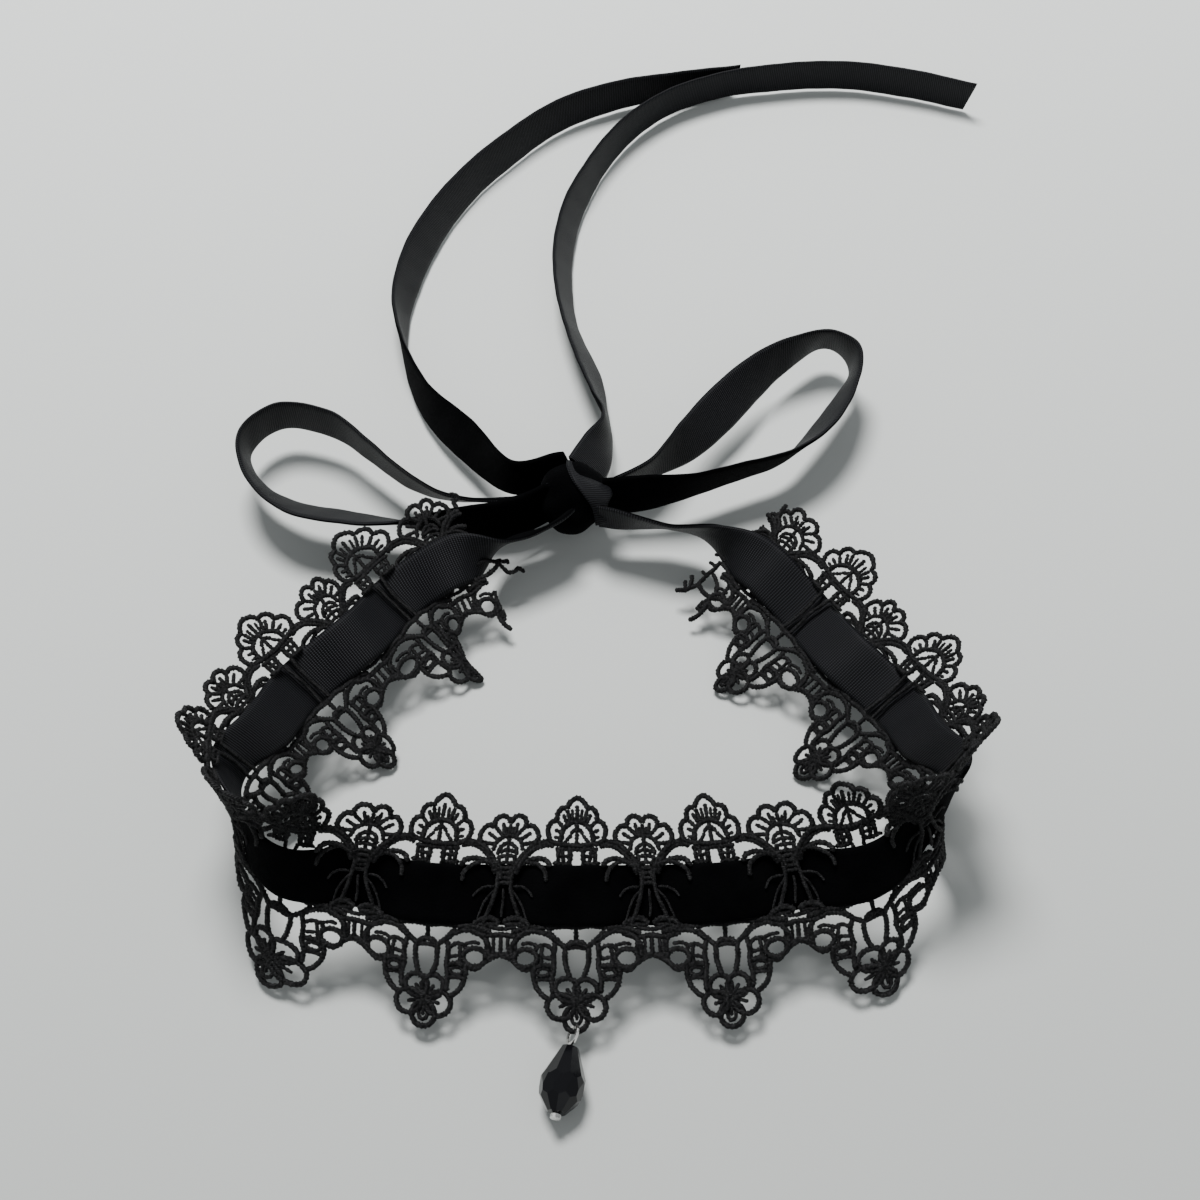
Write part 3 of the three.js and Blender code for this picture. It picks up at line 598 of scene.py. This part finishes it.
def knot_lump():
    """Rounded lump of velvet with folds that gather under the turn."""
    rings, sides = 36, 56
    polar = np.linspace(0.02, np.pi - 0.02, rings)[:, None]
    round_ = np.linspace(0, 2 * np.pi, sides + 1)[:-1][None, :]
    x = np.cos(polar) + 0 * round_
    u = np.sin(polar) * np.cos(round_)
    v = np.sin(polar) * np.sin(round_)
    folds = 0.045 * np.sin(5 * u + 2.2 * x + 0.6) + 0.035 * np.sin(9 * u - 3 * x + 2.0) * (1 - x) / 2
    pinch = 1 - 0.10 * np.exp(-((x - 0.55) / 0.25) ** 2)
    swell = (1 + folds) * pinch
    places = np.stack([-0.6 + 7.6 * x, -0.6 + 7.9 * u * swell, 6.1 * v * swell], -1)
    grid = np.arange(rings * sides).reshape(rings, sides)
    a, b = grid[:-1], grid[1:]
    quads = np.stack([a, b, np.roll(b, -1, 1), np.roll(a, -1, 1)], -1).reshape(-1, 4)
    verts = from_knot(places.reshape(-1, 3))
    return mesh_piece("knot_lump", verts, quads, places.reshape(-1, 3)[:, :2], [velvet_look])


knot_turn = Turn(TURN_LEFT, TURN_RIGHT, 0.9)
lump = knot_lump()
declare(lump, ["bow_knot"])
turn_piece = ribbon("knot_turn", knot_turn, 0, 0.84 * knot_turn.length, step=0.4, thick=0.8, turned=True)
declare(turn_piece, ["bow_knot"])


# Lace
THREAD = 1.0              # width of an ordinary cord of the lace
BEADING = 0.68            # length of one lump along a cord
FRAY_REACH = 20           # how far past the lace's cut ends its loose threads may go
STOUT = 1.08              # how much thicker the cords are than the widths listed


def mirrored(lines):
    """Each line and its mirror image across the motif's axis."""
    out = []
    for points, width, closed in lines:
        points = np.asarray(points, float)
        out.append((points, width, closed))
        out.append((points * ((-1, 1) if points.shape[1] == 2 else (-1, 1, 1)), width, closed))
    return out


def oval(x, h, half_wide, half_tall, turn=0.0, width=THREAD):
    """A closed ring of cord. turn: degrees from level."""
    angles = np.linspace(0, 2 * np.pi, 9)[:-1]
    flat = np.stack([half_wide * np.cos(angles), half_tall * np.sin(angles)], -1)
    c, s = math.cos(turn * TURNED), math.sin(turn * TURNED)
    return flat @ np.array([[c, s], [-s, c]]) + (x, h), width, True


def line(*points, width=THREAD):
    return np.array(points, float), width, False


def petal(x, h, angle, length, wide):
    """One petal of the flower: a loop of cord from its middle, with a short thick stitch inside."""
    outline = [(0.06, 0.0), (0.32, 0.42), (0.68, 0.50), (0.95, 0.24), (0.95, -0.24), (0.68, -0.50),
               (0.32, -0.42)]
    c, s = math.cos(angle * TURNED), math.sin(angle * TURNED)
    spin = np.array([[c, s], [-s, c]])
    loop = np.array(outline) * (length, wide) @ spin + (x, h)
    spine = np.array([(0.1, 0.0), (0.62, 0.0)]) * (length, wide) @ spin + (x, h)
    return [(loop, THREAD, True), (spine, 0.72, False)]


def pointed_motif():
    """Cords of one pointed motif: across from its axis, up from the ribbon line, in millimetres."""
    flower = -19.4
    middle = [
        line((-2.2, 14.9), (-1.6, 16.1), (0, 17.0), (1.6, 16.1), (2.2, 14.9), width=1.0),
        line((0, 10.6), (0, 15.6), width=0.8),
        line((-3.3, 8.8), (-2.9, 10.9), (-1.5, 12.2), (0, 12.6), (1.5, 12.2), (2.9, 10.9), (3.3, 8.8)),
        line((-1.3, 10.4), (0, 11.4), (1.3, 10.4), width=0.8),
        line((-5.2, 9.0), (-2.8, 8.5), (0, 8.3), (2.8, 8.5), (5.2, 9.0), width=1.05),
        line((-4.2, 7.7), (0, 7.6), (4.2, 7.7), width=0.8),
        line((0, 8.4), (0, 10.8), width=0.8),
        line((-5.3, -6.4), (-2.6, -6.0), (0, -6.2), (2.6, -6.0), (5.3, -6.4)),
        line((0, -5.9), (0, -8.7), width=0.85),
        line((-1.5, -9.5), (0, -8.9), (1.5, -9.5), width=1.1),
        line((-1.7, -10.0), (0, -9.8), (1.7, -10.0), width=0.8),
        (*oval(0, flower, 0.55, 0.5)[:2], True),
        oval(0, -22.2, 0.75, 1.15, width=0.7),
    ]
    sides = [
        line((2.2, 15.1), (3.3, 15.0), (4.1, 13.9), (4.0, 12.7), width=1.0),
        line((4.0, 12.8), (5.1, 12.5), (5.8, 11.3), (5.6, 9.9), (5.0, 8.9), width=1.0),
        line((1.3, 12.1), (2.1, 14.8), width=0.8),
        line((2.6, 11.4), (3.9, 12.7), width=0.8),
        line((0.8, 12.4), (1.05, 14.9), width=0.6),
        line((2.0, 12.3), (2.7, 13.6), (2.9, 14.0), width=0.75),
        line((3.1, 10.7), (4.5, 11.2), width=0.75),
        line((3.2, 9.6), (4.6, 9.9), width=0.65),
        line((1.1, 10.3), (2.5, 8.7), width=0.7),
        line((1.4, 8.2), (1.25, 6.4), (1.5, 5.0)),
        line((2.7, 8.2), (2.7, 6.4), (2.4, 5.2), width=0.8),
        line((3.5, 8.0), (3.6, 6.4), (3.4, 5.1), width=0.8),
        line((1.4, 5.2), (2.6, 5.0), (4.4, 5.2), width=0.85),
        line((1.4, 6.5), (2.6, 6.4), (3.6, 6.5), width=0.7),
        line((4.3, 8.8), (6.0, 9.1), (7.8, 8.7), (9.6, 7.4), (11.0, 5.6), (11.9, 3.6), width=1.0),
        line((4.4, 8.2), (6.0, 8.5), (7.6, 8.1), (9.2, 6.9), (10.5, 5.2), (11.4, 3.2)),
        line((4.9, 4.6), (5.6, 5.6), (6.9, 6.0), (8.4, 5.9), (9.8, 5.4), (11.3, 4.6)),
        line((11.5, 1.0), (9.8, 0.9), (8.6, 0.2), (7.8, -0.9), width=0.45),
        line((5.5, 1.9), (5.8, 3.6), (6.9, 4.8), (8.6, 5.4), (10.8, 5.2), (12.2, 4.0), (12.5, 2.2),
             width=0.8),
        line((1.2, 5.2), (0.9, 3.0), (0.7, 0.0), (0.9, -3.0), (1.2, -6.0), width=0.7),
        line((5.3, -6.4), (7.6, -6.3), (9.8, -6.6), (11.4, -7.4)),
        line((5.1, -6.8), (3.5, -8.5), (1.8, -9.9)),
        line((0.6, -8.6), (1.8, -9.9)),
        line((1.9, -9.6), (1.95, -12.0), (1.5, -14.2), (1.1, -15.2)),
        line((3.6, -8.9), (4.0, -11.2), (3.8, -13.4), (4.1, -15.2), (4.0, -18.0)),
        line((3.5, -8.7), (4.8, -7.6), (6.6, -7.0), (8.6, -7.1), (10.2, -8.1), (11.2, -9.8), (11.2, -11.6)),
        line((4.0, -10.3), (5.2, -9.5), (6.6, -9.7), (7.2, -10.6), width=0.8),
        line((5.9, -9.6), (6.1, -11.2), (6.0, -13.2), width=0.75),
        line((4.0, -11.9), (5.9, -11.5), width=0.7),
        line((6.6, -9.6), (8.2, -9.1), (9.6, -9.3), width=0.7),
        oval(8.75, -11.8, 2.05, 1.65),
        line((4.0, -13.2), (5.6, -13.0), (7.1, -13.2)),
        oval(5.6, -14.3, 1.15, 0.75, width=0.8),
        line((7.2, -12.9), (7.3, -14.8), (6.8, -16.7), (5.7, -18.2), (4.6, -18.9), width=0.98),
        line((4.1, -15.6), (5.6, -15.4), (7.1, -15.6), width=0.8),
        line((10.3, -12.7), (11.3, -12.0), (12.3, -11.5), (13.25, -11.3), width=0.98),
        line((10.0, -13.1), (9.0, -13.8), (7.6, -13.6)),
    ]
    petals = []
    five = ((-90, 5.2, 3.9), (-18, 5.0, 4.2), (198, 5.0, 4.2), (54, 4.7, 3.7), (126, 4.7, 3.7))
    for angle, length, wide in five:
        petals += petal(0, flower, angle, length, wide)
    return middle + mirrored(sides) + petals


def scallop_and_column():
    """Cords of one rounded scallop, the column over the ribbon and what hangs from it."""
    middle = [
        line((-2.9, 7.4), (-2.2, 9.3), (0, 10.2), (2.2, 9.3), (2.9, 7.4), width=0.85),
        line((-1.9, 6.6), (-1.4, 8.0), (0, 8.7), (1.4, 8.0), (1.9, 6.6), width=0.8),
        line((0, 8.8), (0, 12.3), width=0.8),
        line((-1.9, 6.2), (0, 6.5), (1.9, 6.2), width=0.8),
        line((-1.6, 7.1), (0, 7.6), (1.6, 7.1), width=0.75),
        line((0, 5.2), (0, 8.7), width=0.7),
        line((-1.5, 5.1), (0, 5.3), (1.5, 5.1), width=0.75),
        line((0, 0.6), (0.1, -2.0), (-0.1, -4.4), width=0.5),
        line((-5.3, -7.2), (-2.6, -7.9), (0, -7.7), (2.6, -7.9), (5.3, -7.2)),
        line((0, -7.7), (0, -11.2), width=0.8),
        line((-3.0, -12.1), (-1.6, -11.4), (0, -11.1), (1.6, -11.4), (3.0, -12.1), width=0.98),
        line((-2.6, -6.2), (0, -6.6), (2.6, -6.2), width=0.8),
    ]
    for h in (4.3, 3.4, 2.5, 1.6):
        middle.append(line((-1.2, h), (1.2, h + 0.1), width=0.75))
    sides = [
        line((0, 12.4), (0.6, 13.4), (1.8, 13.7), (2.9, 13.0), (3.1, 11.7), width=1.0),
        line((3.0, 11.7), (4.2, 12.0), (5.3, 11.0), (5.6, 9.6), (5.0, 8.7), width=1.0),
        line((1.0, 9.9), (3.0, 11.8), width=0.8),
        line((2.5, 8.6), (5.1, 8.9), width=0.8),
        line((0.9, 10.2), (1.5, 12.5), width=0.75),
        line((0.5, 10.3), (0.75, 11.8), width=0.55),
        line((2.2, 9.4), (4.2, 10.7), width=0.75),
        line((5.1, 8.8), (4.2, 7.9), (2.7, 6.3), (1.5, 4.4)),
        line((4.0, 7.2), (2.4, 5.4), (1.3, 3.6), width=0.8),
        line((1.5, 6.4), (1.3, 4.4), (1.2, 2.4), (1.3, 0.6), (1.8, -1.4), (2.6, -3.5), (3.4, -5.6),
             width=0.75),
        line((1.3, 0.6), (2.9, -1.2), (4.0, -3.6), (4.6, -5.6), width=0.42),
        line((0.3, -5.6), (1.9, -4.7), (3.8, -5.0), (4.9, -6.0), (3.6, -6.9), (1.8, -6.8)),
        line((0.5, -5.8), (2.2, -5.8), (4.2, -5.9), width=0.8),
        line((2.6, -7.9), (2.5, -9.5), (2.7, -11.8), width=0.8),
        line((1.3, -7.8), (1.3, -9.4), (1.35, -11.3), width=0.65),
    ]
    return middle + mirrored(sides)


def over_ribbon(x, h):
    """How far a cord lies out: on the lace's own sheet, or on the ribbon where that is in its way."""
    on_ribbon = np.clip((RIBBON_WIDTH / 2 + 0.9 - np.abs(h)) / 0.9, 0, 1)
    repeats = x / PITCH
    column = np.clip((np.abs(repeats - np.round(repeats)) - 0.15) / 0.05, 0, 1)
    lift = np.maximum(weave(FRONT_MIDDLE + x) + RIBBON_THICKNESS / 2 + 0.3, 0)
    return on_ribbon * column * lift


def cords(lines, reach=HALF_LACE, sides=7, step=0.3):
    """Tubes with a beaded surface along flat lines of the lace: corners, faces and UVs."""
    verts, faces, uvs = [], [], []
    first = 0
    around = np.linspace(0, 2 * np.pi, sides + 1)[:-1]
    for points, width, closed in lines:
        path = smooth_line(points, step, closed)
        inside = np.abs(path[:, 0]) < reach + rng.uniform(-0.6, 0.9)
        if inside.sum() < 4:
            continue
        path = path[inside]
        count = len(path)
        ragged = np.cumsum(rng.normal(0, 0.025, (count, 3)), axis=0)
        ragged -= np.linspace(ragged[0], ragged[-1], count)
        x, h = path[:, 0] + ragged[:, 0], path[:, 1] + ragged[:, 1]
        out = over_ribbon(x, h) + ragged[:, 2] + rng.normal(0, 0.06)
        centre = neck.point(FRONT_MIDDLE + x, h, out)
        normal = neck.point(FRONT_MIDDLE + x, h, out + 0.1) - centre
        normal /= np.linalg.norm(normal, axis=1, keepdims=True)
        ahead = np.gradient(centre, axis=0)
        ahead /= np.linalg.norm(ahead, axis=1, keepdims=True)
        side = np.cross(ahead, normal)
        side /= np.linalg.norm(side, axis=1, keepdims=True)
        normal = np.cross(side, ahead)
        along = np.arange(count) * step
        lump = np.sin(along * 2 * np.pi / BEADING + rng.uniform(0, 6.3))
        radius = STOUT * width / 2 * (1 + 0.2 * lump + rng.normal(0, 0.04, count))
        if not closed:
            radius[0] *= 0.6
            radius[-1] *= 0.6
        twist = around[None, :] + along[:, None] * 0.9
        ring = (np.cos(twist)[..., None] * side[:, None] + np.sin(twist)[..., None] * normal[:, None] * 0.92)
        wobble = 1 + rng.normal(0, 0.06, (count, sides))
        tube = centre[:, None] + ring * (radius[:, None] * wobble)[..., None]
        grid = first + np.arange(count * sides).reshape(count, sides)
        a, b = grid[:-1], grid[1:]
        verts.append(tube.reshape(-1, 3))
        faces.append(np.stack([a, np.roll(a, -1, 1), np.roll(b, -1, 1), b], -1).reshape(-1, 4))
        uvs.append(np.stack([np.repeat(along, sides), np.tile(around, count) * width / 2], -1))
        first += count * sides
    return np.vstack(verts), np.vstack(faces), np.vstack(uvs)


def frayed_ends():
    """Threads that hang loose past the lace's two cut ends: along the band from its middle, and up."""
    left = [
        line((-151.0, -3.0), (-154.6, -2.6), (-156.6, -3.6), (-157.3, -5.0), (-158.0, -6.2), (-159.6, -6.4),
             (-160.6, -6.1), (-161.8, -7.3), width=0.85),
        line((-156.4, -3.2), (-157.6, -3.4), (-158.4, -4.0), (-158.9, -3.6), (-159.0, -4.6), width=0.8),
        line((-151.0, -5.6), (-154.0, -5.3), (-156.4, -4.2), (-157.2, -3.4), width=1.0),
        line((-153.6, 11.0), (-154.6, 12.2), (-153.2, 13.2), width=0.7),
    ]
    right = [
        line((166.6, -13.2), (164.6, -13.0), (162.4, -12.9), (160.0, -12.4), (157.6, -11.0), (156.6, -8.6),
             (155.6, -6.6), (155.2, -4.4), width=0.95),
        line((163.9, -10.9), (163.6, -12.0), (162.6, -12.8), width=0.8),
        line((161.4, -9.6), (160.4, -10.6), (159.8, -12.2), width=0.95),
        line((158.4, -8.0), (157.2, -8.4), (155.8, -8.2), width=0.75),
        line((157.8, -5.7), (156.6, -5.8), (155.4, -6.2), width=0.75),
        line((157.4, -3.8), (156.0, -3.4), (154.4, -4.0), width=0.8),
        line((157.4, -10.8), (154.6, -11.9), (151.8, -11.8), (149.9, -11.0), (147.9, -11.2), width=1.0),
        line((155.4, -7.4), (153.4, -8.4), (151.9, -9.9), (151.6, -11.6), width=0.85),
        line((155.2, -4.6), (152.6, -5.4), (150.4, -7.4), (150.2, -9.6), (149.6, -11.0), width=0.85),
        line((154.0, 3.6), (152.8, 4.6), (151.4, 5.9), (149.8, 6.1), (148.3, 5.4), (147.2, 4.0), width=0.95),
        line((151.8, 5.8), (152.7, 6.8), width=0.6),
        line((148.6, 7.0), (149.4, 8.8), (150.8, 10.0), (151.2, 11.4), (151.3, 13.0), width=1.0),
        line((150.8, 10.0), (152.0, 10.0), (153.1, 9.5), width=0.85),
    ]
    return {"left": left, "right": right, "front": []}


def shifted(lines, x):
    return [(points + np.array([x, 0]), width, closed) for points, width, closed in lines]


loose_threads = frayed_ends()
stretches = {"left": (-6.1, -1.6), "front": (-1.6, 1.6), "right": (1.6, 6.1)}
for stretch, (low, high) in stretches.items():
    threads = []
    for k in range(-6, 7):
        if low < k < high:
            threads += shifted(pointed_motif(), k * PITCH)
        if low < k + 0.5 < high and k < 6:
            threads += shifted(scallop_and_column(), (k + 0.5) * PITCH)
    ground = [cord for cord in threads if cord[1] >= 0.9 and not cord[2]]
    raised = [cord for cord in threads if cord[1] < 0.9 or cord[2]]
    stitches = mesh_piece("lace_stitches_" + stretch, *cords(raised), [thread_look])
    declare(stitches, ["lace_band"])
    loose = []
    if loose_threads[stretch]:
        hanging = cords(loose_threads[stretch], HALF_LACE + FRAY_REACH)
        loose = [mesh_piece("lace_loose_" + stretch, *hanging, [thread_look])]
        declare(loose[0], ["lace_band"])
    lace = mesh_piece("lace_cords_" + stretch, *cords(ground), [thread_look])
    declare(lace, ["lace_band"])
    print("lace", stretch, 2 * len(lace.data.polygons), 2 * len(stitches.data.polygons), "triangles")


# Surface, light and camera
def surface():
    """Pale paper-like surface with painted light: its colour is lighter towards the window and darker towards
    the front.
    """
    made, tree, shader = material("pale_surface", (0.62, 0.65, 0.64), 0.8)
    shader.inputs["Specular IOR Level"].default_value = 0.1
    place = node(tree, "ShaderNodeTexCoord").outputs["Object"]
    parts = node(tree, "ShaderNodeSeparateXYZ", {0: place})
    depth = {"From Min": -0.2, "From Max": 0.25}
    painted_light_share = node(tree, "ShaderNodeMapRange", {"Value": parts.outputs["Y"]}, **depth)
    grain = node(tree, "ShaderNodeTexNoise", {"Vector": place}, Scale=700.0, Detail=3.0)
    # Painted light: the surface colour runs from darker at the front to lighter at the back, standing in for
    # the window light's falloff.
    shade = ramp(tree, painted_light_share.outputs["Result"], [(0.0, (0.50, 0.515, 0.50)), (1.0, (0.86, 0.885, 0.865))])
    tree.links.new(shade, shader.inputs["Base Color"])
    bump = node(tree, "ShaderNodeBump", {"Height": grain.outputs["Fac"]}, Strength=0.08, Distance=0.0002)
    tree.links.new(bump.outputs["Normal"], shader.inputs["Normal"])
    return made


bpy.ops.mesh.primitive_plane_add(size=3.0, location=(0, 0, -0.0002))
floor = bpy.context.object
floor.name = "pale_surface"
floor.data.materials.append(surface())

CAMERA_TILT = 54.0        # degrees that the view looks down
CAMERA_AWAY = 384.0       # from the surface at the middle of the picture


def aim(obj, target):
    obj.rotation_euler = (Vector(target) - obj.location).to_track_quat("-Z", "Y").to_euler()


middle = to_frame(np.zeros(3))
middle[2] = 0
camera_data = bpy.data.cameras.new("view")
camera_data.lens = 54.0
camera_data.sensor_width = 36.0
camera_data.clip_start = 0.01
camera = bpy.data.objects.new("view", camera_data)
bpy.context.scene.collection.objects.link(camera)
view_line = Vector((0, -math.cos(CAMERA_TILT * TURNED), math.sin(CAMERA_TILT * TURNED)))
camera.location = Vector(middle) + view_line * CAMERA_AWAY * MM
aim(camera, middle)
bpy.context.scene.camera = camera


def lamp(name, place, size, power, colour=(1, 1, 1)):
    data = bpy.data.lights.new(name, "AREA")
    data.shape = "DISK"
    data.size = size
    data.energy = power
    data.color = colour
    obj = bpy.data.objects.new(name, data)
    bpy.context.scene.collection.objects.link(obj)
    obj.location = place
    aim(obj, (0, 0, 0))


lamp("window", (-0.17, 0.38, 1.12), 0.42, 21)
lamp("room", (0.3, -0.9, 1.0), 1.2, 1.5, (0.95, 0.98, 1.0))
world = bpy.data.worlds.new("room")
world.use_nodes = True
world.node_tree.nodes["Background"].inputs["Color"].default_value = (0.86, 0.90, 0.92, 1)
world.node_tree.nodes["Background"].inputs["Strength"].default_value = 0.36
bpy.context.scene.world = world
